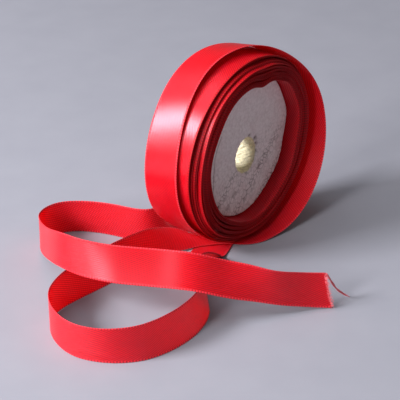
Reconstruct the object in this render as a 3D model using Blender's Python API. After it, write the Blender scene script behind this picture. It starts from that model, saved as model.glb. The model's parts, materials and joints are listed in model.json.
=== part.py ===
"""Ribbon spool: a satin ribbon wound on a foam disc, with its free end unrolled on the table.

Metres, +Z up. The spool's axis runs along Y and its open face looks toward -Y. The spool
stands on its rim and the free end lies on edge beside it, toward -X. The origin is on the
table, in the middle of the rectangle that the whole object covers.
"""

import math

import bmesh
import bpy
from mathutils import Vector

MM = 0.001

# Every size below is in millimetres, measured from the table under the spool's rim.
# SPOOL_AT is where that point stands in the part's own frame.
SPOOL_AT = (29.9, 4.5, 0.08)

RIBBON_WIDTH = 12.0
RIBBON_THICKNESS = 0.30
CLEARANCE = 0.30

# The wound pack: turn groups nested round the core, all turning about one axis.
PACK_RADIUS = 32.3
PACK_AXIS_X = -0.5
PACK_AXIS_Z = 33.6
GROUP_COUNT = 8
GROUP_GAP = 0.36
GROUP_Y_SHIFT = (-2.5, -2.4, -2.4, -2.6, -2.5, -2.7, -1.1, -0.1)
RING_SEGMENTS = 64

# The foam disc, a little thinner than the ribbon is wide and pushed in from the face.
CORE_FRONT_Y = -3.2
CORE_BACK_Y = 6.0
CORE_SEGMENTS = 72
CORE_RADIUS = 24.0
# Waves round its rim, (per turn, size, phase), and flats and swells, (angle, spread, size).
CORE_WAVES = ((3, 0.25, 0.6), (7, 0.12, 0.0))
CORE_SWELLS = (
    (1.45, 0.16, -1.5),
    (2.65, 0.50, -1.3),
    (0.82, 0.22, 1.1),
    (-1.55, 0.55, 1.4),
    (-0.20, 0.30, -0.9),
)
HOLE_RADIUS = 5.3
HOLE_AT = (0.9, 0.0, 30.4)
HOLE_SEGMENTS = 36

# The loose outer turn, a long helix whose front edge wanders from well in front of the pack
# to behind its face. Its front radius, its front edge's place along Y and its tilt off
# the axis, in radians, are sums of waves round the turn, (per turn, cosine, sine).
WRAP_RADIUS = 33.94
WRAP_RADIUS_WAVES = ((1, -0.32, 0.57), (2, -0.21, 0.29), (3, 0.03, -0.40), (4, -0.02, 0.26))
WRAP_FRONT_Y = -7.2
WRAP_FRONT_WAVES = ((1, -5.84, 5.45), (2, -0.44, 0.49), (3, 0.40, -0.71))
WRAP_TILT = 0.002
WRAP_TILT_WAVES = ((1, -0.048, -0.064), (2, 0.080, -0.002), (3, -0.042, 0.022))
WRAP_START = -112.0
WRAP_SWEEP = 337.0
WRAP_SEGMENTS = 72

# The unrolled end as rulings across the ribbon: the lower edge's place and the lean of the
# upper edge away from straight above it, (x, y, z, lean x, lean y).
FROM_ROLL = (
    (-0.5, -12.9, 0.4, 0.0, 12.0),
    (-6.2, -9.8, 0.5, -3.0, 11.55),
    (-11.4, -3.3, 0.6, -6.4, 9.6),
    (-14.0, -0.3, 0.65, -6.5, 8.5),
    (-16.2, 3.9, 0.7, -7.3, 6.9),
    (-18.8, 5.7, 0.65, -7.2, 6.1),
)
LOWER_BACK = (
    (-22.7, 7.2, 0.6, -6.9, 5.0),
    (-28.0, 7.7, 0.4, -5.2, 4.7),
    (-34.5, 8.1, 0.0, -3.0, 4.6),
    (-42.5, 8.7, 0.0, -1.0, 4.6),
    (-51.0, 9.3, 0.0, 0.0, 4.6),
    (-60.0, 10.0, 0.0, 0.0, 4.0),
    (-69.0, 10.9, 0.0, 0.0, 2.6),
)
LOWER_LEFT = (
    (-77.5, 10.8, 0.0, 0.3, 0.8),
    (-84.0, 8.0, 0.0, 0.2, 0.4),
    (-89.0, 2.5, 0.0, 0.0, 0.0),
    (-92.0, -4.5, 0.0, 0.0, 0.0),
    (-92.4, -11.0, 0.0, 0.0, 0.0),
)
LOWER_FRONT = (
    (-90.2, -17.5, 0.0, 0.0, 0.6),
    (-86.4, -23.2, 0.0, 0.2, 1.2),
    (-80.5, -28.3, 0.0, 0.3, 2.0),
    (-73.0, -31.0, 0.0, 0.0, 2.8),
    (-65.0, -31.9, 0.0, 0.0, 3.2),
    (-57.5, -31.2, 0.0, 0.0, 3.2),
    (-50.5, -28.9, 0.0, -1.0, 2.6),
)
LOWER_RIGHT = (
    (-45.0, -25.0, 0.0, -1.6, 1.0),
    (-41.8, -19.6, 0.0, -0.8, -0.3),
    (-38.6, -13.3, 0.0, 1.5, -0.8),
    (-34.2, -6.2, 0.05, 6.0, -3.6),
    (-30.5, -0.2, 0.15, 10.0, -6.55),
)
UNDER_ROLL = (
    (-28.6, 4.6, 0.2, 10.5, -5.8),
    (-27.6, 9.0, 0.2, 11.24, -4.2),
    (-27.7, 12.5, 0.15, 11.7, -0.5),
    (-28.0, 16.5, 0.1, 8.6, 1.6),
)
UPPER_BACK = (
    (-28.4, 21.5, 0.0, 2.6, 0.6),
    (-30.4, 29.5, 0.0, 0.7, 0.4),
    (-33.6, 37.5, 0.0, 0.0, 0.5),
    (-38.2, 43.4, 0.0, -0.4, 0.8),
    (-44.5, 46.2, 0.0, 0.0, 0.4),
)
UPPER_LEFT = (
    (-50.5, 45.2, 0.1, -0.2, 0.0),
    (-56.0, 39.5, 1.6, 0.0, -0.4),
    (-61.5, 32.0, 4.8, 0.2, -0.8),
    (-67.5, 23.0, 9.2, 0.6, -0.4),
    (-71.4, 14.5, 12.2, 1.6, 0.6),
)
FRONT_BAND = (
    (-71.8, 6.0, 12.7, 2.6, 1.8),
    (-69.4, -2.8, 12.7, 3.8, 3.0),
    (-65.5, -10.3, 12.7, 4.4, 3.3),
    (-61.3, -17.8, 12.8, 4.7, 3.5),
    (-57.0, -26.0, 12.9, 4.9, 3.7),
    (-53.2, -30.6, 11.6, 5.0, 4.0),
    (-47.5, -35.4, 9.0, 4.4, 4.4),
)
CUT_END = (
    (-40.8, -40.0, 6.5, 2.0, 3.4),
    (-34.2, -44.9, 3.9, 0.2, 2.2),
    (-24.6, -50.9, 0.9, 0.5, 3.4),
    (-20.0, -55.0, 0.1, 0.8, 3.6),
)
TAIL_PIECES = (
    ("tail_from_roll", FROM_ROLL),
    ("tail_lower_back", LOWER_BACK),
    ("tail_lower_left", LOWER_LEFT),
    ("tail_lower_front", LOWER_FRONT),
    ("tail_lower_right", LOWER_RIGHT),
    ("tail_under_roll", UNDER_ROLL),
    ("tail_upper_back", UPPER_BACK),
    ("tail_upper_left", UPPER_LEFT),
    ("tail_front_band", FRONT_BAND),
    ("tail_cut_end", CUT_END),
)
STEPS_PER_RULING = 6
PIECE_GAP = 0.35

# The pulled thread at the cut corner.
THREAD_ROUTE = (
    (-19.0, -51.6, 11.2),
    (-17.0, -52.2, 7.6),
    (-15.0, -53.2, 4.2),
    (-12.8, -54.6, 1.6),
    (-10.8, -55.6, 0.5),
)
THREAD_RADIUS = 0.25
THREAD_SIDES = 8

RED = (0.72, 0.012, 0.024, 1.0)
DEEP_RED = (0.50, 0.006, 0.014, 1.0)
FOAM_WHITE = (0.62, 0.58, 0.57, 1.0)


def clear_scene():
    for obj in list(bpy.data.objects):
        bpy.data.objects.remove(obj)


def material(name, colour, roughness):
    made = bpy.data.materials.new(name)
    made.use_nodes = True
    shader = made.node_tree.nodes["Principled BSDF"]
    shader.inputs["Base Color"].default_value = colour
    shader.inputs["Roughness"].default_value = roughness
    shader.inputs["Metallic"].default_value = 0.0
    return made


def solid(name, points, faces, colour, roughness, origin=(0.0, 0.0, 0.0)):
    """One closed body from points in millimetres, its origin at the given point."""
    base = Vector(origin)
    place = base + Vector(SPOOL_AT)
    mesh = bpy.data.meshes.new(name)
    mesh.from_pydata([(Vector(point) - base) * MM for point in points], [], faces)
    work = bmesh.new()
    work.from_mesh(mesh)
    bmesh.ops.recalc_face_normals(work, faces=work.faces)
    work.to_mesh(mesh)
    work.free()
    mesh.shade_smooth()
    mesh.set_sharp_from_angle(angle=math.radians(35.0))
    made = bpy.data.objects.new(name, mesh)
    made.location = place * MM
    bpy.context.scene.collection.objects.link(made)
    mesh.materials.append(material(name + "_skin", colour, roughness))
    return made


def tube_faces(rows, closed):
    """Quads round four-sided sections, capped at both ends unless they close in a ring."""
    faces = []
    for i in range(rows if closed else rows - 1):
        here = 4 * i
        after = 4 * ((i + 1) % rows)
        for k in range(4):
            side = (k + 1) % 4
            faces.append((here + k, here + side, after + side, after + k))
    if not closed:
        last = 4 * (rows - 1)
        faces.append((0, 3, 2, 1))
        faces.append((last, last + 1, last + 2, last + 3))
    return faces


def core_outline(angle):
    """Radius of the foam disc: cut by hand, so with flats and swells round its rim."""
    radius = CORE_RADIUS
    for per_turn, size, phase in CORE_WAVES:
        radius += size * math.sin(per_turn * angle + phase)
    for middle, spread, size in CORE_SWELLS:
        apart = (angle - middle + math.pi) % (2.0 * math.pi) - math.pi
        radius += size * math.exp(-(apart / spread) ** 2)
    return radius


def group_radius(angle, distance):
    """A turn group's radius: it follows the core inside and comes round outside."""
    inner = core_outline(angle) + CLEARANCE
    share = distance / (PACK_RADIUS - CORE_RADIUS - CLEARANCE)
    return inner + share * (PACK_RADIUS - inner)


def pack_point(radius, angle, y):
    return (PACK_AXIS_X + radius * math.cos(angle), y, PACK_AXIS_Z + radius * math.sin(angle))


def around(segments):
    return [2.0 * math.pi * i / segments for i in range(segments)]


def build_core():
    points = []
    faces = []
    for angle in around(CORE_SEGMENTS):
        radius = core_outline(angle)
        points.append(pack_point(radius, angle, CORE_FRONT_Y))
        points.append(pack_point(radius, angle, CORE_BACK_Y))
    for i in range(CORE_SEGMENTS):
        here = 2 * i
        after = 2 * ((i + 1) % CORE_SEGMENTS)
        faces.append((here, after, after + 1, here + 1))
    faces.append(tuple(range(0, 2 * CORE_SEGMENTS, 2)))
    faces.append(tuple(range(1, 2 * CORE_SEGMENTS, 2)))
    axis = (PACK_AXIS_X, 0.0, PACK_AXIS_Z)
    core = solid("foam_core", points, faces, FOAM_WHITE, 0.85, axis)
    cut_hole(core)
    return core


def cut_hole(core):
    """The spindle hole, bored a little below the middle of the disc."""
    bpy.ops.mesh.primitive_cylinder_add(
        vertices=HOLE_SEGMENTS,
        radius=HOLE_RADIUS * MM,
        depth=4.0 * RIBBON_WIDTH * MM,
        location=(Vector(SPOOL_AT) + Vector(HOLE_AT)) * MM,
        rotation=(math.pi / 2.0, 0.0, 0.0),
    )
    drill = bpy.context.object
    drill.name = "spindle_drill"
    drill.hide_render = True
    drill.display_type = "WIRE"
    cut = core.modifiers.new("spindle_hole", "BOOLEAN")
    cut.operation = "DIFFERENCE"
    cut.solver = "EXACT"
    cut.object = drill


def build_group(index):
    """One group of turns: a ring inside the next, its edges stepped along Y from the others."""
    pitch = (PACK_RADIUS - CORE_RADIUS - CLEARANCE) / GROUP_COUNT
    inside = index * pitch
    last = index == GROUP_COUNT - 1
    outside = inside + pitch - (0.0 if last else GROUP_GAP)
    middle = GROUP_Y_SHIFT[index]
    points = []
    for angle in around(RING_SEGMENTS):
        low = group_radius(angle, inside)
        high = group_radius(angle, outside)
        points.append(pack_point(low, angle, middle - RIBBON_WIDTH / 2.0))
        points.append(pack_point(high, angle, middle - RIBBON_WIDTH / 2.0))
        points.append(pack_point(high, angle, middle + RIBBON_WIDTH / 2.0))
        points.append(pack_point(low, angle, middle + RIBBON_WIDTH / 2.0))
    name = "turns_%02d" % (index + 1)
    axis = (PACK_AXIS_X, 0.0, PACK_AXIS_Z)
    return solid(name, points, tube_faces(RING_SEGMENTS, True), DEEP_RED, 0.45, axis)


def waves(angle, sizes):
    return sum(a * math.cos(n * angle) + b * math.sin(n * angle) for n, a, b in sizes)


def build_wrap():
    """The loose turn, its edges at their own radii because it tilts off the axis."""
    points = []
    start = math.radians(WRAP_START)
    sweep = math.radians(WRAP_SWEEP)
    for i in range(WRAP_SEGMENTS + 1):
        angle = start - sweep * i / WRAP_SEGMENTS
        tilt = WRAP_TILT + waves(angle, WRAP_TILT_WAVES)
        front = WRAP_RADIUS + waves(angle, WRAP_RADIUS_WAVES)
        back = front + RIBBON_WIDTH * math.sin(tilt)
        front_y = WRAP_FRONT_Y + waves(angle, WRAP_FRONT_WAVES)
        back_y = front_y + RIBBON_WIDTH * math.cos(tilt)
        points.append(pack_point(back, angle, back_y))
        points.append(pack_point(front, angle, front_y))
        points.append(pack_point(front - RIBBON_THICKNESS, angle, front_y))
        points.append(pack_point(back - RIBBON_THICKNESS, angle, back_y))
    faces = tube_faces(WRAP_SEGMENTS + 1, False)
    return solid("outer_turn", points, faces, RED, 0.3)


def upper_edge(ruling):
    """The upper edge's place for a ruling, one ribbon width from the lower edge."""
    x, y, z, lean_x, lean_y = ruling
    rise = math.sqrt(max(0.0, RIBBON_WIDTH ** 2 - lean_x ** 2 - lean_y ** 2))
    return Vector((x + lean_x, y + lean_y, z + rise))


def between(a, b, c, d, t):
    """A smooth curve through b and c, with a and d as its neighbours."""
    first = 2.0 * b + (c - a) * t
    second = (2.0 * a - 5.0 * b + 4.0 * c - d) * t ** 2
    third = (3.0 * b - a - 3.0 * c + d) * t ** 3
    return 0.5 * (first + second + third)


def tail_rulings():
    """Every ruling of the unrolled end, as (lower edge, upper edge) pairs, in order."""
    rulings = [ruling for _, piece in TAIL_PIECES for ruling in piece]
    low = [Vector(ruling[:3]) for ruling in rulings]
    high = [upper_edge(ruling) for ruling in rulings]
    for edge in (low, high):
        edge.insert(0, 2.0 * edge[0] - edge[1])
        edge.append(2.0 * edge[-1] - edge[-2])
    rows = []
    for i in range(1, len(low) - 2):
        for k in range(STEPS_PER_RULING):
            t = k / STEPS_PER_RULING
            foot = between(low[i - 1], low[i], low[i + 1], low[i + 2], t)
            head = between(high[i - 1], high[i], high[i + 1], high[i + 2], t)
            rows.append((foot, foot + (head - foot).normalized() * RIBBON_WIDTH))
    rows.append((low[-2], high[-2]))
    return rows


def strip_points(rows):
    """Four corners a row: the ribbon's section, its thickness square to its face at each edge."""
    points = []
    for i, (foot, head) in enumerate(rows):
        before = rows[max(0, i - 1)]
        after = rows[min(len(rows) - 1, i + 1)]
        across = head - foot
        low = (after[0] - before[0]).cross(across).normalized() * RIBBON_THICKNESS / 2.0
        high = (after[1] - before[1]).cross(across).normalized() * RIBBON_THICKNESS / 2.0
        points += [foot + low, head + high, head - high, foot - low]
    return points


def strip_faces(rows):
    """The ribbon's faces; where it twists, both sides fold along the same diagonal."""
    faces = [(0, 3, 2, 1)]
    for i in range(rows - 1):
        here = 4 * i
        after = here + 4
        faces.append((here, here + 1, after + 1))
        faces.append((here, after + 1, after))
        faces.append((here + 2, here + 3, after + 2))
        faces.append((here + 3, after + 3, after + 2))
        faces.append((here + 1, here + 2, after + 2, after + 1))
        faces.append((here + 3, here, after, after + 3))
    last = 4 * (rows - 1)
    faces.append((last, last + 1, last + 2, last + 3))
    return faces


def trimmed(rows, shorten_start, shorten_end):
    """The rows of one piece, with a small gap left at a joint to the next piece."""
    rows = list(rows)
    for wanted, end, inner in ((shorten_start, 0, 1), (shorten_end, -1, -2)):
        if not wanted:
            continue
        span = ((rows[inner][0] + rows[inner][1]) - (rows[end][0] + rows[end][1])).length / 2.0
        share = PIECE_GAP / 2.0 / span
        rows[end] = tuple(rows[end][k].lerp(rows[inner][k], share) for k in (0, 1))
    return rows


def build_tail():
    rows = tail_rulings()
    first = 0
    last_piece = len(TAIL_PIECES) - 1
    for index, (name, piece) in enumerate(TAIL_PIECES):
        count = len(piece) * STEPS_PER_RULING
        stop = len(rows) if index == last_piece else first + count + 1
        part = trimmed(rows[first:stop], index > 0, index < last_piece)
        points = strip_points(part)
        solid(name, points, strip_faces(len(part)), RED, 0.3)
        first += count


def build_thread():
    """The pulled thread, a thin round strand that drops from the cut corner to the table."""
    route = [Vector(point) for point in THREAD_ROUTE]
    route.insert(0, 2.0 * route[0] - route[1])
    route.append(2.0 * route[-1] - route[-2])
    line = []
    for i in range(1, len(route) - 2):
        for k in range(3):
            line.append(between(route[i - 1], route[i], route[i + 1], route[i + 2], k / 3.0))
    line.append(route[-2])
    points = []
    faces = []
    for i, place in enumerate(line):
        along = (line[min(i + 1, len(line) - 1)] - line[max(i - 1, 0)]).normalized()
        side = along.cross(Vector((0.0, 1.0, 0.0))).normalized()
        other = along.cross(side)
        for angle in around(THREAD_SIDES):
            offset = side * math.cos(angle) + other * math.sin(angle)
            points.append(place + offset * THREAD_RADIUS)
    for i in range(len(line) - 1):
        for k in range(THREAD_SIDES):
            side = (k + 1) % THREAD_SIDES
            here = THREAD_SIDES * i
            after = here + THREAD_SIDES
            faces.append((here + k, here + side, after + side, after + k))
    faces.append(tuple(range(THREAD_SIDES)))
    faces.append(tuple(range(THREAD_SIDES * (len(line) - 1), THREAD_SIDES * len(line))))
    solid("loose_thread", points, faces, RED, 0.6)


def main():
    clear_scene()
    build_core()
    for index in range(GROUP_COUNT):
        build_group(index)
    build_wrap()
    build_tail()
    build_thread()


main()
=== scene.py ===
"""The ribbon spool's looks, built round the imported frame.

A roll of red satin ribbon on a foam disc, its free end unrolled in two loops on the table.
The builders work in millimetres from the table under the spool's rim, as the part's source
does, and placed() turns them into the row frame's metres.
"""
import json
import math

import bpy
import numpy as np
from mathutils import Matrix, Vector
from mathutils.kdtree import KDTree


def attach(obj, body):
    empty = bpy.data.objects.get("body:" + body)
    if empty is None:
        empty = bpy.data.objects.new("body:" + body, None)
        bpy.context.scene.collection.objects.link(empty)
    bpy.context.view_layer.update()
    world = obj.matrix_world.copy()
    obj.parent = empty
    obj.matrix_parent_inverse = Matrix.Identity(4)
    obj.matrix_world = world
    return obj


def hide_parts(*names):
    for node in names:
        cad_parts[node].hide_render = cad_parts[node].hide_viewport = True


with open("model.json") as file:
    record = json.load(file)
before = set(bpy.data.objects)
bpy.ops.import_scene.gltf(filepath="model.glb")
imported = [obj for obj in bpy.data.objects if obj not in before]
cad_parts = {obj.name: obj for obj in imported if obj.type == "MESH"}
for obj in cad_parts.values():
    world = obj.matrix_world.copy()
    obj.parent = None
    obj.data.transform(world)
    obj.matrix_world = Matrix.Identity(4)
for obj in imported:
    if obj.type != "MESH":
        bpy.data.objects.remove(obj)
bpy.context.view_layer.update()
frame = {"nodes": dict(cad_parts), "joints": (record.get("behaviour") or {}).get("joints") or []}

MM = 0.001
TURN = 2.0 * math.pi

# Sizes in millimetres. The axis, the width and the groups' shifts are those of the packed
# solids. The wound pack is drawn fuller than its solids and sags onto the table, and the
# spindle hole is drawn taller than it is wide and a little lower.
PACK_AXIS_X = -0.5
PACK_AXIS_Z = 33.6
PACK_RADIUS = 32.9
PACK_SAG = 0.3
WIDTH = 12.0
GROUP_SHIFT = (-2.5, -2.4, -2.4, -2.6, -2.5, -2.7, -1.1, -0.1)
CORE_FRONT, CORE_BACK = -3.2, 6.0
HOLE_RADIUS, HOLE_X, HOLE_Z = 5.2, 0.9, 29.6
HOLE_TALL = 1.2
AXIS = frame["joints"][0]["pos_m"]
SPOOL_AT = np.array(AXIS) / MM - (PACK_AXIS_X, 0.0, PACK_AXIS_Z)

# The loose outer turn: its front radius, its front edge's place along the axis and its tilt
# off the axis, in radians. Waves round the turn are (per turn, cosine size, sine size).
WRAP_RADIUS = 33.94
WRAP_RADIUS_WAVES = ((1, -0.32, 0.57), (2, -0.21, 0.29), (3, 0.03, -0.40), (4, -0.02, 0.26))
WRAP_FRONT_Y = -7.2
WRAP_FRONT_WAVES = ((1, -5.84, 5.45), (2, -0.44, 0.49), (3, 0.40, -0.71))
WRAP_TILT = 0.002
WRAP_TILT_WAVES = ((1, -0.048, -0.064), (2, 0.080, -0.002), (3, -0.042, 0.022))
WRAP_START, WRAP_SWEEP = math.radians(-112.0), math.radians(337.0)
# The start of the turn is tucked under the pack, and hugs it for a while before it stands off.
WRAP_TUCK = math.radians(12.0)
WRAP_HUG = math.radians(48.0)
# Near the top the turn's back edge is drawn in towards the pack.
WRAP_PINCH, WRAP_PINCH_AT, WRAP_PINCH_SPREAD = 0.078, 0.98, 0.55

# The unrolled end as rulings across the ribbon, from the roll to the cut end: the lower
# edge's place and the lean of the upper edge, (x, y, z, lean x, lean y).
TAIL = (
    (-0.5, -12.9, 0.2, 0.0, 12.0),
    (-6.2, -9.8, 0.25, -3.0, 11.6),
    (-11.4, -3.3, 0.6, -6.4, 9.6),
    (-14.6, -0.5, 0.45, -5.9, 8.7),
    (-18.4, 2.2, 0.55, -5.1, 8.6),
    (-21.6, 3.4, 0.55, -4.4, 8.4),
    (-25.0, 5.3, 0.5, -4.6, 6.9),
    (-28.8, 7.1, 0.4, -4.4, 5.3),
    (-34.5, 8.1, 0.0, -3.0, 4.6),
    (-42.5, 8.7, 0.0, -1.0, 4.6),
    (-51.0, 9.3, 0.0, 0.0, 4.6),
    (-60.0, 10.0, 0.0, 0.0, 4.0),
    (-69.0, 10.9, 0.0, 0.0, 2.6),
    (-77.5, 10.8, 0.0, 0.3, 0.8),
    (-84.0, 8.0, 0.0, 0.2, 0.4),
    (-89.0, 2.5, 0.0, 0.0, 0.0),
    (-92.0, -4.5, 0.0, 0.0, 0.0),
    (-92.4, -11.0, 0.0, 0.0, 0.0),
    (-90.2, -17.5, 0.0, 0.0, 0.6),
    (-86.4, -23.2, 0.0, 0.2, 1.2),
    (-80.5, -28.3, 0.0, 0.3, 2.0),
    (-73.0, -31.0, 0.0, 0.0, 2.8),
    (-65.0, -31.9, 0.0, 0.0, 3.2),
    (-57.5, -31.2, 0.0, 0.0, 3.2),
    (-50.5, -28.9, 0.0, -1.0, 2.6),
    (-45.0, -25.0, 0.0, -1.6, 1.0),
    (-41.8, -19.6, 0.0, -0.8, -0.3),
    (-38.6, -13.3, 0.0, 1.5, -0.8),
    (-35.0, -7.5, 0.05, 8.0, -5.0),
    (-27.0, 0.0, 0.1, 8.0, -8.9),
    (-19.5, 3.2, 0.08, 4.3, -11.2),
    (-13.3, 5.6, 0.08, 7.2, -9.6),
    (-10.3, 8.6, 0.08, 11.6, -3.05),
    (-11.0, 11.2, 0.08, 10.5, 5.8),
    (-14.8, 12.6, 0.08, 4.8, 10.98),
    (-20.5, 13.6, 0.05, 2.6, 5.0),
    (-25.6, 16.6, 0.0, 1.4, 1.6),
    (-28.4, 22.0, 0.0, 1.0, 0.4),
    (-30.4, 29.5, 0.0, 0.7, 0.4),
    (-33.6, 37.5, 0.0, 0.0, 0.5),
    (-38.2, 43.4, 0.0, -0.4, 0.8),
    (-44.5, 46.2, 0.0, 0.0, 0.4),
    (-50.5, 45.2, 0.1, -0.2, 0.0),
    (-56.0, 39.5, 1.6, 0.0, -0.4),
    (-61.5, 32.0, 4.8, 0.2, -0.8),
    (-67.5, 23.0, 9.2, 0.6, -0.4),
    (-71.4, 14.5, 12.2, 1.6, 0.6),
    (-71.8, 6.0, 12.7, 2.6, 1.8),
    (-69.4, -2.8, 12.7, 3.8, 3.0),
    (-65.5, -10.3, 12.7, 4.4, 3.3),
    (-61.3, -17.8, 12.8, 4.7, 3.5),
    (-57.0, -26.0, 12.9, 4.9, 3.7),
    (-53.2, -30.6, 11.6, 5.0, 4.0),
    (-47.5, -35.4, 9.0, 4.4, 4.4),
    (-40.8, -40.0, 6.5, 2.0, 3.4),
    (-34.2, -44.9, 3.9, 0.2, 2.2),
    (-24.6, -50.9, 0.9, 0.5, 3.4),
    (-20.0, -55.0, 0.1, 0.8, 3.6),
)
THREAD_ROUTE = (
    (-19.0, -51.6, 11.2),
    (-17.0, -52.2, 7.6),
    (-15.0, -53.2, 4.2),
    (-12.8, -54.6, 1.6),
    (-10.8, -55.6, 0.5),
)

# The cloth itself: half its thickness, how much its selvedge swells, and the pitch of the
# loops along the selvedge.
BODY_HALF = 0.09
SELVEDGE = 0.07
BEAD_PITCH = 0.95
RIBBON_STEP = 0.24
TURN_STEP = 0.3

# The wound turns: an assumed number of them, three to a group, and what each takes up.
TURNS = 24
TURNS_IN_GROUP = 3.0
PACK_LAYER = 0.235
BASE_SLACK = 0.05
GAP_SOFTNESS = 0.12

STRAND_SIDES = 6

CAMERA_AZIMUTH, CAMERA_ELEVATION = -50.3, 29.0
CAMERA_TARGET = (-19.8, 0.0, 20.0)
CAMERA_DISTANCE = 0.540
CAMERA_LENS = 145.8


# ---------------------------------------------------------------- helpers

def placed(points):
    """Row frame metres from millimetres under the spool's rim."""
    return (np.asarray(points, float) + SPOOL_AT) * MM


def unit(vectors):
    return vectors / np.maximum(np.linalg.norm(vectors, axis=-1, keepdims=True), 1e-9)


def wander(along, seed, length):
    """A smooth wave between about -1 and 1 that changes over about the given length."""
    draw = np.random.default_rng(seed)
    total = np.zeros_like(along, dtype=float)
    for _ in range(6):
        rate = TURN / (length * draw.uniform(0.7, 2.2))
        total += np.sin(along * rate + draw.uniform(0.0, TURN))
    return total / 3.0


def waves(angle, sizes):
    return sum(a * np.cos(n * angle) + b * np.sin(n * angle) for n, a, b in sizes)


def bump_at(angle, middle, spread):
    """1 at the middle angle, falling off to both sides, whatever full turns are added."""
    apart = (angle - middle + math.pi) % TURN - math.pi
    return np.exp(-(apart / spread) ** 2)


def pack_line(radius, angle, y):
    """Points round the pack's axis, the angle measured from +X toward +Z."""
    x = PACK_AXIS_X + radius * np.cos(angle)
    z = PACK_AXIS_Z + radius * np.sin(angle)
    return np.stack([x, np.broadcast_to(y, x.shape), z], -1)


def piece(name, points, faces, materials, slots=None, weave=None):
    """One mesh object from millimetre points, with its cloth coordinates as an attribute."""
    mesh = bpy.data.meshes.new(name)
    mesh.from_pydata(placed(points).tolist(), [], faces.tolist())
    for made in materials:
        mesh.materials.append(made)
    if slots is not None:
        mesh.polygons.foreach_set("material_index", slots.astype(np.int32))
    mesh.shade_smooth()
    if weave is not None:
        kept = mesh.attributes.new("weave", "FLOAT_VECTOR", "POINT")
        kept.data.foreach_set("vector", weave.astype(np.float32).ravel())
    obj = bpy.data.objects.new(name, mesh)
    bpy.context.scene.collection.objects.link(obj)
    return obj


def band_faces(rows, across, closed_rows=False, closed_across=True):
    """Quads over a grid of rows, each of so many points across."""
    row = np.arange(rows if closed_rows else rows - 1)
    col = np.arange(across if closed_across else across - 1)
    row, col = np.meshgrid(row, col, indexing="ij")
    after_row, after_col = (row + 1) % rows, (col + 1) % across
    quads = np.stack([
        row * across + col,
        after_row * across + col,
        after_row * across + after_col,
        row * across + after_col,
    ], axis=-1)
    return quads.reshape(-1, 4), col.ravel()


# ---------------------------------------------------------------- materials

class Nodes:
    """A material's node tree, with short calls to add and link its nodes."""

    def __init__(self, name):
        self.material = bpy.data.materials.new(name)
        self.material.use_nodes = True
        self.tree = self.material.node_tree
        self.shader = self.tree.nodes["Principled BSDF"]

    def add(self, kind, inputs=None, **settings):
        node = self.tree.nodes.new(kind)
        for key, value in settings.items():
            setattr(node, key, value)
        for key, value in (inputs or {}).items():
            self.set(node.inputs[key], value)
        return node

    def set(self, socket, value):
        if isinstance(value, bpy.types.NodeSocket):
            self.tree.links.new(value, socket)
        else:
            socket.default_value = value

    def math(self, operation, a, b=0.0):
        return self.add("ShaderNodeMath", {0: a, 1: b}, operation=operation).outputs[0]

    def mix(self, share, a, b):
        node = self.add("ShaderNodeMix", data_type="RGBA")
        self.set(node.inputs["Factor"], share)
        self.set(node.inputs[6], a)
        self.set(node.inputs[7], b)
        return node.outputs[2]

    def noise(self, vector, scale, detail=2.0):
        node = self.add(
            "ShaderNodeTexNoise", {"Vector": vector, "Scale": scale, "Detail": detail}
        )
        return node.outputs["Fac"]

    def stretched(self, x, y, z):
        return self.add("ShaderNodeCombineXYZ", {0: x, 1: y, 2: z}).outputs[0]

    def range(self, value, low, high, to_low=0.0, to_high=1.0):
        inputs = {0: value, 1: low, 2: high, 3: to_low, 4: to_high}
        return self.add("ShaderNodeMapRange", inputs).outputs[0]

    def cloth(self):
        """Millimetres across and along the ribbon; on the foam, its painted shade and tone, and
        which points are the hole's wall.
        """
        node = self.add("ShaderNodeAttribute", attribute_name="weave")
        split = self.add("ShaderNodeSeparateXYZ", {0: node.outputs["Vector"]})
        return split.outputs[0], split.outputs[1]

    def bump(self, height, strength, distance):
        inputs = {"Height": height, "Strength": strength, "Distance": distance}
        self.set(self.shader.inputs["Normal"], self.add("ShaderNodeBump", inputs).outputs[0])

    def across_grain(self):
        """Spreads a highlight across the ribbon, as threads that run along it do."""
        node = self.add("ShaderNodeTangent", direction_type="UV_MAP", uv_map="weave_uv")
        self.set(self.shader.inputs["Tangent"], node.outputs[0])

    def shade(self, **values):
        for key, value in values.items():
            self.set(self.shader.inputs[key.replace("_", " ")], value)
        return self.material


def twill(nodes, across, along, pitch, slant):
    """The diagonal lines of the weave, from 0 to 1."""
    phase = nodes.math(
        "SUBTRACT",
        nodes.math("MULTIPLY", across, TURN * math.cos(slant) / pitch),
        nodes.math("MULTIPLY", along, TURN * math.sin(slant) / pitch),
    )
    return nodes.range(nodes.math("SINE", phase), -1.0, 1.0)


def woven(nodes, across, along, scale_across, scale_along):
    """Soft streaks of single threads, much longer one way than the other."""
    return nodes.noise(
        nodes.stretched(
            nodes.math("MULTIPLY", across, scale_across),
            nodes.math("MULTIPLY", along, scale_along),
            0.0,
        ),
        1.0,
        3.0,
    )


def weighted(nodes, *parts):
    """The sum of (value, weight) parts."""
    total = 0.0
    for value, weight in parts:
        total = nodes.math("ADD", total, nodes.math("MULTIPLY", value, weight))
    return total


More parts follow.
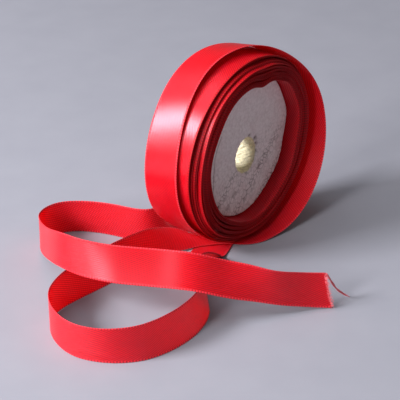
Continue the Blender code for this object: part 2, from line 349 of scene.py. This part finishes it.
def satin_material():
    """The shiny outer face: diagonal lines of floats, fine filaments along the ribbon."""
    nodes = Nodes("satin_face")
    across, along = nodes.cloth()
    lines = twill(nodes, across, along, 0.60, math.radians(24.0))
    threads = woven(nodes, across, along, 5.0, 0.5)
    broad = woven(nodes, across, along, 0.2, 0.06)
    tone = weighted(
        nodes,
        (lines, 0.6),
        (nodes.range(threads, 0.3, 0.7), 0.25),
        (nodes.range(broad, 0.3, 0.7), 0.15),
    )
    colour = nodes.mix(tone, (0.38, 0.0004, 0.002, 1.0), (0.90, 0.004, 0.016, 1.0))
    nodes.bump(nodes.math("ADD", lines, nodes.math("MULTIPLY", threads, 0.8)), 0.4, 0.00003)
    nodes.across_grain()
    return nodes.shade(
        Base_Color=colour,
        Roughness=nodes.range(lines, 0.0, 1.0, 0.42, 0.30),
        Specular_IOR_Level=0.6,
        Specular_Tint=(1.0, 0.80, 0.95, 1.0),
        Anisotropic=0.7,
        Subsurface_Weight=0.85,
        Subsurface_Radius=(1.0, 0.12, 0.14),
        Subsurface_Scale=0.0012,
    )


def reverse_material():
    """The matt inner face, with the weave's little mesh showing."""
    nodes = Nodes("matt_face")
    across, along = nodes.cloth()
    lines = twill(nodes, across, along, 0.66, math.radians(28.0))
    other = twill(nodes, across, along, 0.80, math.radians(-62.0))
    grid = nodes.math("MULTIPLY", lines, nodes.range(other, 0.0, 1.0, 0.35, 1.0))
    threads = woven(nodes, across, along, 4.0, 0.8)
    tone = weighted(nodes, (grid, 0.85), (nodes.range(threads, 0.3, 0.7), 0.15))
    colour = nodes.mix(tone, (0.50, 0.001, 0.005, 1.0), (1.0, 0.022, 0.042, 1.0))
    nodes.bump(grid, 0.6, 0.00005)
    nodes.across_grain()
    return nodes.shade(
        Base_Color=colour,
        Roughness=nodes.range(grid, 0.0, 1.0, 0.52, 0.40),
        Specular_IOR_Level=0.4,
        Specular_Tint=(1.0, 0.5, 0.55, 1.0),
        Anisotropic=0.3,
        Subsurface_Weight=0.85,
        Subsurface_Radius=(1.0, 0.12, 0.14),
        Subsurface_Scale=0.0012,
    )


def edge_material(name, low, high):
    """The woven selvedge and the edges of the wound turns, each loop lighter and the gaps between
    deeper: painted highlight and shade.
    """
    nodes = Nodes(name)
    across, along = nodes.cloth()
    turn = nodes.math("MULTIPLY", along, TURN / BEAD_PITCH)
    bead = nodes.range(nodes.math("SINE", turn), -1.0, 1.0)
    fuzz = woven(nodes, across, along, 2.0, 3.0)
    # Loops lighter, gaps between them deeper: painted highlight and shade along the beads, with
    # random fuzz in tone.
    tone = weighted(nodes, (bead, 0.7), (nodes.range(fuzz, 0.3, 0.7), 0.3))
    nodes.bump(fuzz, 0.4, 0.00004)
    return nodes.shade(
        Base_Color=nodes.mix(tone, low, high),
        Roughness=0.5,
        Specular_IOR_Level=0.5,
        Specular_Tint=(1.0, 0.5, 0.55, 1.0),
    )


def foam_material():
    """Old bead foam: off-white, with faint dirt and pink dye marks; its grooves, cracks and chips
    browner as painted shade, and its spindle hole's wall tinted pale yellow as a painted glow.
    """
    nodes = Nodes("bead_foam")
    shade_mask, hole = nodes.cloth()
    place = nodes.add("ShaderNodeTexCoord").outputs["Object"]
    dirt = nodes.noise(place, 900.0, 4.0)
    dye = nodes.noise(place, 160.0, 2.0)
    clean = nodes.mix(
        nodes.range(dirt, 0.35, 0.7), (0.96, 0.87, 0.86, 1.0), (0.82, 0.72, 0.71, 1.0)
    )
    dyed = nodes.mix(
        nodes.range(dye, 0.5, 0.75, 0.0, 0.25), clean, (0.72, 0.50, 0.52, 1.0)
    )
    # The hole's wall is tinted pale yellow: a painted glow of light shining through the foam.
    painted_hole_glow = nodes.mix(hole, dyed, (0.80, 0.74, 0.52, 1.0))
    # Grooves, cracks and chips turn deep brown: painted shade, with a little random tone per bead.
    colour = nodes.mix(shade_mask, painted_hole_glow, (0.16, 0.09, 0.08, 1.0))
    nodes.bump(dirt, 0.35, 0.0002)
    return nodes.shade(Base_Color=colour, Roughness=0.85, Specular_IOR_Level=0.25)


def thread_material():
    """The frayed thread, paler than the cloth."""
    nodes = Nodes("frayed_thread")
    place = nodes.add("ShaderNodeTexCoord").outputs["Object"]
    strand = nodes.noise(place, 4000.0, 2.0)
    colour = nodes.mix(strand, (0.70, 0.03, 0.06, 1.0), (0.93, 0.22, 0.25, 1.0))
    nodes.bump(strand, 0.3, 0.00003)
    return nodes.shade(
        Base_Color=colour, Roughness=0.5, Sheen_Weight=0.3, Sheen_Roughness=0.5
    )


def table_material():
    """A plain pale table, a little uneven in tone."""
    nodes = Nodes("table_top")
    place = nodes.add("ShaderNodeTexCoord").outputs["Object"]
    grain = nodes.noise(place, 60.0, 3.0)
    colour = nodes.mix(
        nodes.range(grain, 0.3, 0.7), (0.30, 0.305, 0.35, 1.0), (0.315, 0.32, 0.365, 1.0)
    )
    return nodes.shade(Base_Color=colour, Roughness=0.6, Specular_IOR_Level=0.3)


# ---------------------------------------------------------------- the ribbon

def edge_distance(columns):
    """How far each place across the ribbon is from its nearer edge."""
    return np.minimum(columns, WIDTH - columns)


def strip(name, foot, head, columns, materials, along_start=0.0, ripple=None):
    """A thin closed ribbon between two edge lines, with a rounded, beaded selvedge."""
    columns = np.asarray(columns, float)
    middle = (foot + head) / 2.0
    steps = np.linalg.norm(np.diff(middle, axis=0), axis=1)
    along = along_start + np.concatenate([[0.0], np.cumsum(steps)])
    side = unit(head - foot)
    edge = edge_distance(columns)
    bead = 0.5 + 0.5 * np.sin(along * TURN / BEAD_PITCH)
    outward = np.sign(columns - WIDTH / 2.0) * np.clip(1.0 - edge / 0.3, 0.0, 1.0)
    reach = columns[None, :] + 0.06 * bead[:, None] * outward[None, :]
    surface = foot[:, None, :] + side[:, None, :] * reach[:, :, None]
    travel = np.gradient(surface, axis=0)
    normal = unit(np.cross(travel, np.broadcast_to(side[:, None, :], surface.shape)))
    rounded = np.sqrt(np.clip(1.0 - (1.0 - np.minimum(edge / 0.16, 1.0)) ** 2, 0.03, 1.0))
    swell = np.exp(-((edge - 0.34) / 0.22) ** 2)
    half = BODY_HALF * rounded[None, :] + SELVEDGE * swell[None, :] * bead[:, None]
    if ripple is not None:
        surface = surface + normal * ripple(along[:, None], columns[None, :])[:, :, None]
    outer = surface + normal * half[:, :, None]
    inner = surface - normal * half[:, :, None]
    across = 2 * len(columns)
    grid = np.concatenate([outer, inner[:, ::-1]], axis=1)
    rows = len(foot)
    quads, column = band_faces(rows, across)
    count = len(columns)
    slots = np.where(column < count - 1, 0, np.where(column < count, 2, 1))
    slots = np.where(column == across - 1, 2, slots)
    near = np.concatenate([edge, edge[::-1]])[column] < 0.5
    slots = np.where(near, 2, slots)
    first = np.arange(count - 1)
    start = np.stack([first, first + 1, across - 2 - first, across - 1 - first], axis=-1)
    stop = start[:, ::-1] + (rows - 1) * across
    faces = np.concatenate([quads, start, stop])
    slots = np.concatenate([slots, np.full(2 * (count - 1), 2)])
    weave = np.zeros((rows, across, 3))
    weave[:, :, 0] = np.concatenate([columns, columns[::-1]])[None, :]
    weave[:, :, 1] = along[:, None]
    obj = piece(name, grid.reshape(-1, 3), faces, materials, slots, weave.reshape(-1, 3))
    layer = obj.data.uv_layers.new(name="weave_uv")
    corners = np.zeros(len(obj.data.loops), np.int32)
    obj.data.loops.foreach_get("vertex_index", corners)
    flat = weave.reshape(-1, 3)[corners][:, :2] * 0.01
    layer.data.foreach_set("uv", flat.astype(np.float32).ravel())
    return obj


def wrap_rows(step=math.radians(1.5)):
    """Edge lines of the loose turn, with the short length tucked in under its start."""
    turned = np.arange(-WRAP_TUCK, WRAP_SWEEP, step)
    angle = WRAP_START - turned
    share = np.clip((WRAP_HUG - turned) / (WRAP_HUG + WRAP_TUCK), 0.0, 1.0)
    share = share * share * (3.0 - 2.0 * share)
    pinch = WRAP_PINCH * bump_at(angle, WRAP_PINCH_AT, WRAP_PINCH_SPREAD)
    tilt = (WRAP_TILT + waves(angle, WRAP_TILT_WAVES) - pinch) * (1.0 - share)
    radius = WRAP_RADIUS + waves(angle, WRAP_RADIUS_WAVES) - BODY_HALF
    radius = radius * (1.0 - share) + (pack_outside(angle) - 0.1) * share
    front = WRAP_FRONT_Y + waves(angle, WRAP_FRONT_WAVES)
    front = front * (1.0 - share) + (GROUP_SHIFT[-1] - WIDTH / 2.0) * share
    back_radius = radius + WIDTH * np.sin(tilt)
    back = front + WIDTH * np.cos(tilt)
    return pack_line(radius, angle, front), pack_line(back_radius, angle, back)


def pack_outside(angle):
    """The wound pack's outer radius, which sags a little onto the table."""
    return PACK_RADIUS - PACK_SAG * np.sin(angle)


def catmull_rom(points, steps):
    """A smooth line through the points, so many steps between each two."""
    a, b, c, d = points[:-3, None], points[1:-2, None], points[2:-1, None], points[3:, None]
    t = (np.arange(steps) / steps)[None, :, None]
    first = 2.0 * b + (c - a) * t
    second = (2.0 * a - 5.0 * b + 4.0 * c - d) * t ** 2
    third = (3.0 * b - a - 3.0 * c + d) * t ** 3
    return (0.5 * (first + second + third)).reshape(-1, 3)


def tail_rows(before_foot, before_head):
    rulings = np.array(TAIL)
    foot = rulings[:, :3]
    lean = rulings[:, 3:]
    rise = np.sqrt(np.maximum(0.0, WIDTH ** 2 - (lean ** 2).sum(1)))
    head = foot + np.column_stack([lean, rise])
    lines = []
    for line, before in ((foot, before_foot), (head, before_head)):
        line = np.vstack([before, line, 2.0 * line[-1] - line[-2]])
        smooth = catmull_rom(line, 16)
        lines.append(np.vstack([smooth, line[-2]]))
    return lines


def smoothed(line, spread):
    """The line with its small kinks eased out, its ends left where they are."""
    reach = int(spread * 3.0)
    weights = np.exp(-0.5 * (np.arange(-reach, reach + 1) / spread) ** 2)
    weights /= weights.sum()
    head = 2.0 * line[0] - line[reach:0:-1]
    foot = 2.0 * line[-1] - line[-2:-reach - 2:-1]
    padded = np.vstack([head, line, foot])
    return np.column_stack([np.convolve(padded[:, k], weights, "valid") for k in range(3)])


def evenly(foot, head, step):
    """Both edge lines again, with rows an even distance apart."""
    middle = (foot + head) / 2.0
    along = np.concatenate([[0.0], np.cumsum(np.linalg.norm(np.diff(middle, axis=0), axis=1))])
    wanted = np.linspace(0.0, along[-1], int(along[-1] / step) + 1)
    lines = [
        np.column_stack([np.interp(wanted, along, line[:, k]) for k in range(3)])
        for line in (foot, head)
    ]
    return lines[0], lines[1], along[-1]


def ribbon_path():
    """Edge lines of the slack turn and the unrolled end as one ribbon, and its length."""
    wrap_foot, wrap_head = wrap_rows()
    near = np.linalg.norm(wrap_foot - TAIL[0][:3], axis=1)
    keep = slice(0, len(wrap_foot) - int((near[-8:] < 1.2).sum()))
    wrap_foot, wrap_head = wrap_foot[keep], wrap_head[keep]
    tail_foot, tail_head = tail_rows(wrap_foot[-1], wrap_head[-1])
    foot = np.vstack([wrap_foot, tail_foot])
    head = np.vstack([wrap_head, tail_head])
    foot, head, _ = evenly(foot, head, 0.25)
    foot, head = smoothed(foot, 8.0), smoothed(head, 8.0)
    foot[:, 2] = np.maximum(foot[:, 2], 0.02)
    head = foot + unit(head - foot) * WIDTH
    return evenly(foot, head, RIBBON_STEP)


def ribbon_ripple(along, across):
    """Slight cockles in the cloth, and its edges pulled a little in and out."""
    low = wander(along, 11, 34.0) * (1.0 - across / WIDTH)
    high = wander(along, 12, 30.0) * across / WIDTH
    bow = wander(along, 13, 45.0) * np.sin(np.pi * across / WIDTH)
    return 0.09 * low + 0.09 * high + 0.08 * bow


# Where the points across a ribbon lie, in from its edge: fine where the edge is seen close.
FINE = (0.0, 0.05, 0.13, 0.24, 0.34, 0.46, 0.62, 0.9, 1.6, 3.0, 4.5)
COARSE = (0.0, 0.07, 0.2, 0.36, 0.6, 1.6)


def mirrored(columns, middle):
    return list(columns) + list(middle) + [WIDTH - c for c in reversed(columns)]


def build_ribbon(materials):
    foot, head, length = ribbon_path()
    columns = mirrored(FINE, (6.0,))
    obj = strip("ribbon_unrolled", foot, head, columns, materials, 0.0, ribbon_ripple)
    return obj, foot, head, length


# ---------------------------------------------------------------- the wound turns

def core_outline(angle):
    """Radius of the foam disc from the pack's axis: cut by hand, so not quite round."""
    radius = 24.0 + 0.25 * np.sin(3.0 * angle + 0.6) + 0.12 * np.sin(7.0 * angle)
    radius -= 1.5 * bump_at(angle, 1.45, 0.16)
    radius -= 1.3 * bump_at(angle, 2.65, 0.5)
    radius += 1.1 * bump_at(angle, 0.82, 0.22)
    radius += 1.4 * bump_at(angle, -1.55, 0.55)
    radius -= 0.9 * bump_at(angle, -0.2, 0.3)
    return radius


def gap_list():
    """Where turns stand apart: turn, angle, spread and size of each lens-shaped gap."""
    draw = np.random.default_rng(41)
    gaps = [
        (21.0, 1.35, 0.55, 2.2),
        (16.0, 1.10, 0.45, 2.0),
        (12.0, 1.45, 0.30, 1.8),
        (9.0, 1.02, 0.30, 1.6),
        (5.0, 1.55, 0.28, 1.6),
        (2.0, 0.92, 0.25, 1.5),
        (19.0, -1.75, 0.55, 2.0),
        (14.0, -1.95, 0.50, 1.8),
        (9.0, -2.10, 0.45, 1.8),
        (5.0, -2.20, 0.35, 1.4),
        (20.5, 0.2, 0.9, 0.9),
        (21.5, 2.6, 0.8, 1.2),
    ]
    for _ in range(26):
        gaps.append((
            draw.uniform(1.0, 22.5),
            draw.uniform(-math.pi, math.pi),
            draw.uniform(0.25, 0.7),
            draw.uniform(0.3, 0.9),
        ))
    return gaps


TURN_END = WRAP_START + WRAP_TUCK + math.radians(1.0)


def turn_spread(turn, angle):
    """The share of the pack's slack that lies inside a turn, from 0 to 1."""
    inside = BASE_SLACK * turn
    whole = np.full_like(turn, BASE_SLACK * TURNS)
    for at, middle, spread, size in gap_list():
        share = ((TURN_END - middle) / TURN) % 1.0
        place = math.floor(at) + share + 0.5
        height = size * bump_at(angle, middle, spread)
        low = 1.0 / (1.0 + math.exp(place / GAP_SOFTNESS))
        high = 1.0 / (1.0 + math.exp(-(TURNS - place) / GAP_SOFTNESS))
        past = np.clip((turn - place) / GAP_SOFTNESS, -60.0, 60.0)
        step = 1.0 / (1.0 + np.exp(-past))
        inside = inside + height * (step - low)
        whole = whole + height * (high - low)
    return inside / whole


def turn_line(turn):
    """Edge lines of the spiral at these turn counts, 0 at the core."""
    angle = TURN_END + TURN * (TURNS - turn)
    inner = core_outline(angle) + 0.25
    slack = pack_outside(angle) - 0.2 - inner - TURNS * PACK_LAYER
    radius = inner + PACK_LAYER * (turn + 0.5) * TURNS / (TURNS + 1.0)
    radius = radius + slack * turn_spread(turn, angle)
    knots = []
    shifts = []
    for group, shift in enumerate(GROUP_SHIFT):
        first = TURNS_IN_GROUP * group
        knots += [first + 0.35, first + 2.65]
        shifts += [shift, shift]
    middle = np.interp(turn, knots, shifts)
    loose = np.minimum(1.0, (TURNS - turn) / 2.0)
    middle = middle + loose * (0.16 * wander(turn, 5, 0.6) + 0.12 * wander(turn, 6, 0.21))
    return [pack_line(radius, angle, middle + shift) for shift in (-WIDTH / 2.0, WIDTH / 2.0)]


def build_turns(materials):
    """The eight groups of turns, three turns of one spiral in each."""
    groups = []
    along = 0.0
    for index in range(len(GROUP_SHIFT)):
        first = TURNS_IN_GROUP * index
        turn = np.linspace(first, first + TURNS_IN_GROUP, 1900)
        foot, head = turn_line(turn)
        foot, head, length = evenly(foot, head, TURN_STEP)
        outermost = index == len(GROUP_SHIFT) - 1
        columns = mirrored(FINE if outermost else COARSE, (6.0,))
        name = "wound_turns_%02d" % (index + 1)
        obj = strip(name, foot, head, columns, materials, along)
        along += length
        groups.append((obj, "turns_%02d" % (index + 1), length))
    return groups


# ---------------------------------------------------------------- the foam disc

def seed_tree(seeds):
    tree = KDTree(len(seeds))
    for index, seed in enumerate(seeds):
        tree.insert((seed[0], seed[1], 0.0), index)
    tree.balance()
    return tree


def cell_edges(points, seeds):
    """How much nearer each point's nearest seed is than its second nearest, and which it is."""
    tree = seed_tree(seeds)
    near = [tree.find_n((x, z, 0.0), 2) for x, z in points]
    gap = np.array([second[2] - first[2] for first, second in near])
    return gap, np.array([first[1] for first, _ in near])


def bead_seeds(low, high, pitch, seed):
    """Bead centres scattered over a rectangle, about one to each pitch by pitch square."""
    count = int((high[0] - low[0]) * (high[1] - low[1]) / pitch ** 2)
    return np.random.default_rng(seed).uniform(low, high, (count, 2))


def near_line(points, line):
    """Distance of each point from a broken line."""
    best = np.full(len(points), 1e9)
    line = np.array(line, float)
    for a, b in zip(line[:-1], line[1:]):
        share = np.clip(((points - a) @ (b - a)) / ((b - a) @ (b - a)), 0.0, 1.0)
        best = np.minimum(best, np.linalg.norm(points - a - share[:, None] * (b - a), axis=1))
    return best


# The foam's beads, and the crack and chips of its front face as (x, z) and (x, z, size).
BEAD_SIZE = 1.3
FOAM_CRACK = ((-12.3, 41.6), (-14.6, 38.0), (-15.9, 34.9), (-16.4, 27.3), (-16.9, 21.8),
              (-14.7, 15.1))
FOAM_CHIPS = ((-16.3, 17.7, 0.7), (-14.7, 15.1, 0.8), (-13.7, 15.8, 0.5), (-15.6, 16.4, 0.5),
              (2.7, 36.4, 0.6), (5.9, 34.2, 0.8), (6.4, 32.0, 0.6), (6.2, 29.0, 0.7))


def face_relief(points):
    """How deep the foam's face is at each place, and its painted shade in the grooves between
    beads, cracks and chips, with a little random tone per bead.
    """
    squeeze = (1.0, 0.88)
    cells, which = cell_edges(points * squeeze, bead_seeds((-34, 0), (34, 58), BEAD_SIZE, 21))
    lift = np.random.default_rng(24).uniform(0.0, 1.0, which.max() + 1)[which]
    low_part = np.clip((36.0 - points[:, 1] + 0.25 * points[:, 0]) / 14.0, 0.0, 1.0)
    patch = np.clip(0.5 + 0.6 * wander(points[:, 0] - points[:, 1], 33, 7.0), 0.2, 1.0)
    strength = 0.12 + 0.88 * low_part * patch
    groove = np.exp(-(cells / 0.19) ** 2) * strength
    crack = np.exp(-(near_line(points, FOAM_CRACK) / 0.16) ** 2)
    depth = 0.16 * groove + 0.07 * lift * strength + 0.35 * crack
    # Painted shade in the grooves, the crack and the chips, plus random tone per bead.
    shade_and_tone = 0.62 * groove + 0.12 * lift * strength + 0.7 * crack
    for x, z, size in FOAM_CHIPS:
        chip = np.exp(-(np.hypot(points[:, 0] - x, points[:, 1] - z) / size) ** 2)
        depth += 0.5 * chip
        shade_and_tone += 0.8 * chip
    swell = wander(points[:, 0] + 0.4 * points[:, 1], 31, 9.0) + wander(points[:, 1], 32, 8.0)
    return depth + 0.10 * swell, np.clip(shade_and_tone, 0.0, 1.0)


def hole_ring(angle, share):
    """The torn spindle hole's outline, a share of the way from the front to the back."""
    wall = 0.12 * wander(angle * 6.0, 51, 2.0) + 0.16 * wander(angle * 8.0 + 9.0 * share, 52, 1.4)
    wall = HOLE_RADIUS + wall + 0.35 * abs(2.0 * share - 1.0) ** 8
    high = HOLE_Z + HOLE_TALL * wall * np.sin(angle)
    return np.stack([HOLE_X + wall * np.cos(angle), high], -1)


def foam_face(level, sign, shares, angle, rim, seed_shift):
    """Rings of one face between the hole and the rim, and the painted shade and tone of each
    point.
    """
    inner = hole_ring(angle, 0.0 if sign < 0 else 1.0)
    share = np.asarray(shares)[:, None, None]
    place = inner[None] * (1.0 - share) + rim[None] * share
    depth, shade_and_tone = face_relief(place.reshape(-1, 2) + (seed_shift, 0.0))
    depth, shade_and_tone = depth.reshape(place.shape[:2]), shade_and_tone.reshape(place.shape[:2])
    share = share[:, :, 0]
    rounding = 0.5 * np.exp(-((1.0 - share) / 0.012)) + 0.3 * np.exp(-share / 0.02)
    height = level - sign * (depth + rounding)
    return np.stack([place[:, :, 0], height, place[:, :, 1]], -1), shade_and_tone


def build_foam(material):
    """The foam disc: its bead-marked faces, its rim, and the ragged spindle hole."""
    count = 600
    angle = np.arange(count) * TURN / count
    rim = pack_line(core_outline(angle), angle, 0.0)[:, [0, 2]]
    thick = CORE_BACK - CORE_FRONT
    front, front_shade_and_tone = foam_face(CORE_FRONT, -1.0, np.linspace(0.0, 1.0, 120), angle, rim, 0.0)
    back, back_shade_and_tone = foam_face(CORE_BACK, 1.0, np.linspace(1.0, 0.0, 60), angle, rim, 3.7)
    side_share = np.array([0.06, 0.2, 0.5, 0.8, 0.94])[:, None]
    side = np.stack(np.broadcast_arrays(
        rim[None, :, 0], CORE_FRONT + thick * side_share, rim[None, :, 1]
    ), -1)
    wall_share = np.linspace(0.95, 0.05, 24)
    wall = np.array([hole_ring(angle, share) for share in wall_share])
    level = np.broadcast_to((CORE_FRONT + thick * wall_share)[:, None], wall.shape[:2])
    flat = np.stack([np.broadcast_to(angle * HOLE_RADIUS + 40.0, level.shape), level + 20.0], -1)
    cells, _ = cell_edges(flat.reshape(-1, 2), bead_seeds((38, 14), (76, 28), BEAD_SIZE, 23))
    groove = np.exp(-(cells.reshape(level.shape) / 0.16) ** 2)
    wall = wall + unit(wall - (HOLE_X, HOLE_Z)) * (0.18 * groove)[:, :, None]
    inside = np.stack([wall[:, :, 0], level, wall[:, :, 1]], -1)
    grid = np.concatenate([front, side, back, inside])
    # Painted shade: the faces' grooves, cracks and chips, none on the rim, some in the hole wall's
    # grooves.
    shades_and_tones = np.concatenate([front_shade_and_tone, np.zeros(side.shape[:2]), back_shade_and_tone, 0.35 * groove])
    faces, _ = band_faces(len(grid), count, closed_rows=True)
    weave = np.zeros((shades_and_tones.size, 3))
    weave[:, 0] = shades_and_tones.ravel()
    # These points are the hole's wall, which takes the painted glow.
    weave[-inside[:, :, 0].size:, 1] = 1.0
    return piece("foam_disc", grid.reshape(-1, 3), faces, [material], None, weave)


# ---------------------------------------------------------------- threads

def tube(line, radius):
    """Points and faces of a round strand along a line, tapered at its far end."""
    line = np.asarray(line, float)
    travel = unit(np.gradient(line, axis=0))
    first = unit(np.cross(travel, (0.31, 0.87, 0.17)))
    second = np.cross(travel, first)
    angle = np.arange(STRAND_SIDES) * TURN / STRAND_SIDES
    size = radius * (1.0 - 0.7 * np.linspace(0.0, 1.0, len(line)) ** 3)
    ring = (first[:, None, :] * np.cos(angle)[None, :, None]
            + second[:, None, :] * np.sin(angle)[None, :, None])
    points = line[:, None, :] + ring * size[:, None, None]
    faces, _ = band_faces(len(line), STRAND_SIDES)
    ends = np.vstack([line[0] - travel[0] * radius * 0.3, line[-1] + travel[-1] * radius * 0.3])
    return points.reshape(-1, 3), faces, ends


def strands(name, lines, radii, material):
    """Many strands as one piece, each closed at both ends."""
    points = []
    faces = []
    total = 0
    for line, radius in zip(lines, radii):
        body, quads, ends = tube(line, radius)
        points += [body, ends]
        faces += (quads + total).tolist()
        first = total + len(body)
        last = first - STRAND_SIDES
        for k in range(STRAND_SIDES):
            after = (k + 1) % STRAND_SIDES
            faces.append([first, total + k, total + after])
            faces.append([first + 1, last + after, last + k])
        total += len(body) + 2
    mesh = bpy.data.meshes.new(name)
    mesh.from_pydata(placed(np.vstack(points)).tolist(), [], faces)
    mesh.materials.append(material)
    mesh.shade_smooth()
    obj = bpy.data.objects.new(name, mesh)
    bpy.context.scene.collection.objects.link(obj)
    return obj


def build_thread(material):
    """The pulled thread: a few filaments that twist together and spread at the tip."""
    route = np.array(THREAD_ROUTE)
    route = np.vstack([2.0 * route[0] - route[1], route, 2.0 * route[-1] - route[-2]])
    centre = catmull_rom(route, 14)
    share = np.linspace(0.0, 1.0, len(centre))
    draw = np.random.default_rng(61)
    lines = []
    for k in range(7):
        start = draw.uniform(0.0, TURN)
        loose = 0.14 + 0.12 * share + 0.60 * np.clip((share - 0.72) / 0.28, 0.0, 1.0) ** 2
        spin = start + share * TURN * draw.uniform(1.5, 2.6)
        offset = np.column_stack([
            loose * np.cos(spin), loose * np.sin(spin), loose * np.sin(spin * 0.7 + start)
        ])
        line = centre + offset
        line[:, 2] = np.maximum(line[:, 2], 0.12)
        stop = int(len(line) * draw.uniform(0.86, 1.0))
        lines.append(line[:stop])
    return strands("pulled_thread", lines, [0.17] * len(lines), material)


def build_fray(foot, head, material):
    """Short fibres standing out of the cut edge."""
    draw = np.random.default_rng(71)
    travel = unit(foot[-1] - foot[-6])
    side = unit(head[-1] - foot[-1])
    normal = np.cross(travel, side)
    lines = []
    for _ in range(190):
        base = foot[-1] + side * draw.uniform(0.2, WIDTH - 0.2) - travel * draw.uniform(0.0, 0.9)
        reach = draw.uniform(0.5, 1.5)
        aim = unit(
            travel * draw.uniform(0.3, 1.0) + side * draw.uniform(-0.7, 0.7)
            + normal * draw.uniform(-0.1, 0.7)
        )
        t = np.linspace(0.0, 1.0, 5)[:, None]
        sag = side * draw.uniform(-0.25, 0.2)
        line = base + normal * 0.08 + aim * reach * t + sag * t ** 2
        line[:, 2] = np.maximum(line[:, 2], 0.06)
        lines.append(line)
    return strands("cut_fray", lines, [0.045] * len(lines), material)


# ---------------------------------------------------------------- stage

def make_camera():
    azimuth, elevation = math.radians(CAMERA_AZIMUTH), math.radians(CAMERA_ELEVATION)
    back = Vector((
        math.sin(azimuth) * math.cos(elevation),
        -math.cos(azimuth) * math.cos(elevation),
        math.sin(elevation),
    ))
    data = bpy.data.cameras.new("camera")
    data.lens = CAMERA_LENS
    data.sensor_width = 36.0
    data.clip_start = 0.01
    camera = bpy.data.objects.new("camera", data)
    camera.location = Vector(placed([CAMERA_TARGET])[0]) + back * CAMERA_DISTANCE
    camera.rotation_mode = "QUATERNION"
    camera.rotation_quaternion = (-back).to_track_quat("-Z", "Y")
    bpy.context.scene.collection.objects.link(camera)
    bpy.context.scene.camera = camera


def area_light(name, direction, elevation, distance, size, power, colour):
    """A soft panel that looks at the spool from a compass direction and height."""
    data = bpy.data.lights.new(name, "AREA")
    data.shape = "RECTANGLE"
    data.size, data.size_y = size
    data.energy = power
    data.color = colour
    aim = Vector(placed([(-20.0, -2.0, 18.0)])[0])
    flat = Vector((direction[0], direction[1], 0.0)).normalized()
    rise = math.radians(elevation)
    away = flat * math.cos(rise) + Vector((0.0, 0.0, math.sin(rise)))
    light = bpy.data.objects.new(name, data)
    light.location = aim + away * distance
    light.rotation_mode = "QUATERNION"
    light.rotation_quaternion = (-away).to_track_quat("-Z", "Y")
    bpy.context.scene.collection.objects.link(light)


def make_lights():
    area_light("window", (-0.84, 0.54), 32.0, 0.9, (0.30, 0.24), 12.0, (0.98, 0.97, 1.0))
    area_light("side", (-1.0, 0.03), 25.0, 0.9, (0.20, 0.28), 5.5, (1.0, 0.97, 0.98))
    area_light("ceiling", (-0.4, 0.5), 70.0, 1.4, (1.2, 1.2), 8.0, (0.92, 0.94, 1.0))
    world = bpy.data.worlds.new("fill")
    world.use_nodes = True
    shade = world.node_tree.nodes["Background"]
    shade.inputs["Color"].default_value = (1.0, 0.95, 0.93, 1.0)
    shade.inputs["Strength"].default_value = 0.19
    bpy.context.scene.world = world
    bpy.context.scene.view_settings.view_transform = "Standard"


def make_table():
    mesh = bpy.data.meshes.new("table")
    reach = 2.0
    corners = [(-reach, -reach, 0), (reach, -reach, 0), (reach, reach, 0), (-reach, reach, 0)]
    mesh.from_pydata(corners, [], [(0, 1, 2, 3)])
    mesh.materials.append(table_material())
    table = bpy.data.objects.new("table", mesh)
    bpy.context.scene.collection.objects.link(table)


# ---------------------------------------------------------------- the whole object

def main():
    make_camera()
    make_lights()
    make_table()
    satin, matt = satin_material(), reverse_material()
    selvedge = edge_material("selvedge", (0.26, 0.0005, 0.002, 1.0), (1.0, 0.045, 0.070, 1.0))
    # The wound turns' edges get a deeper copy of the selvedge colours: painted shade on the pack's
    # face.
    shaded_wound_edge = edge_material("shaded_wound_edge", (0.20, 0.0004, 0.002, 1.0), (0.60, 0.003, 0.008, 1.0))
    thread = thread_material()

    ribbon, foot, head, length = build_ribbon([satin, matt, selvedge])
    fray = build_fray(foot, head, thread)
    pulled = build_thread(thread)
    for obj, slot in ((ribbon, "ribbon"), (fray, "thread"), (pulled, "thread")):
        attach(obj, "unrolled_end")
    tail_nodes = [name for name in frame["nodes"] if name.startswith("tail_")]
    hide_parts("outer_turn", *sorted(tail_nodes))
    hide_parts("loose_thread")

    foam = build_foam(foam_material())
    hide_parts("foam_core")
    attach(foam, "inner_turns")

    for obj, node, turn_length in build_turns([satin, matt, shaded_wound_edge]):
        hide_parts(node)
        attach(obj, "inner_turns" if node <= "turns_04" else "outer_turns")


main()
